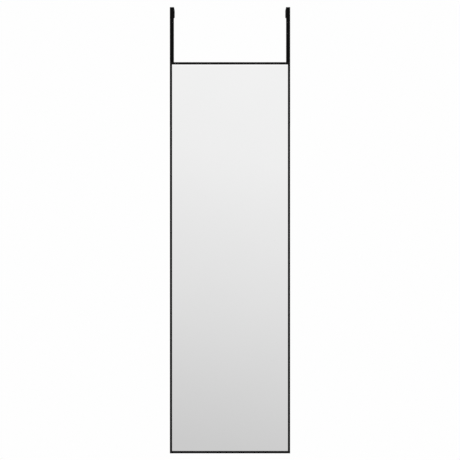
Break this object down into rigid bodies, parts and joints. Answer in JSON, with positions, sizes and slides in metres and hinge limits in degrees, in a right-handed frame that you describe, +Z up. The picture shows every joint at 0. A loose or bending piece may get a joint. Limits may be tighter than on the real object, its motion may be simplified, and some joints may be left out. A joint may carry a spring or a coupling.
{
  "type": "over the door mirror",
  "caption": "Tall mirror in a slim mitred frame that hangs on a door's top edge by bent flat hooks, which slide up and down behind the stiles and are clamped by screws.",
  "frame": {"origin": "on the top edge of the door, at the door's front face, midway between the hooks", "axes": "+X to the right of someone who faces the mirror, +Y from the room into the door, +Z up"},
  "size_m": [0.3092, 0.06, 1.1439],
  "materials": {
    "frame_black": "black anodised, satin",
    "mirror_glass": "silvered float glass with a ground edge",
    "panel_board": "brown fibreboard, smooth face outwards",
    "tape_foam": "black closed-cell foam tape",
    "zinc_plate": "zinc plated",
    "screw_steel": "black oxide",
    "spring_steel": "bright tempered spring steel",
    "hanger_black": "black powder coat on steel, fine texture",
    "liner_foam": "black foam sheet",
    "bumper_rubber": "soft black rubber"
  },
  "bodies": {
    "mirror": {"left_stile": "frame_black", "right_stile": "frame_black", "top_rail": "frame_black", "bottom_rail": "frame_black", "mirror_pane": "mirror_glass", "back_panel": "panel_board", "left_foam_tape": "tape_foam", "right_foam_tape": "tape_foam", "top_foam_tape": "tape_foam", "bottom_foam_tape": "tape_foam", "top_left_corner_key": "zinc_plate", "top_right_corner_key": "zinc_plate", "bottom_left_corner_key": "zinc_plate", "bottom_right_corner_key": "zinc_plate", "corner_grub_screws": "screw_steel", "side_spring_clips": "spring_steel", "end_spring_clips": "spring_steel", "left_clamp_screws": "screw_steel", "right_clamp_screws": "screw_steel", "left_channel_nuts": "zinc_plate", "right_channel_nuts": "zinc_plate", "left_bumper": "bumper_rubber", "right_bumper": "bumper_rubber"},
    "left_hook": {"left_hanger": "hanger_black", "left_hook_liner": "liner_foam"},
    "right_hook": {"right_hanger": "hanger_black", "right_hook_liner": "liner_foam"}
  },
  "joints": [
    {"name": "left_hook_slide", "type": "slide", "parent": "mirror", "child": "left_hook", "axis": [0, 0, 1], "range_m": [-0.03, 0.03]},
    {"name": "right_hook_slide", "type": "slide", "parent": "mirror", "child": "right_hook", "axis": [0, 0, 1], "range_m": [-0.03, 0.03]}
  ]
}
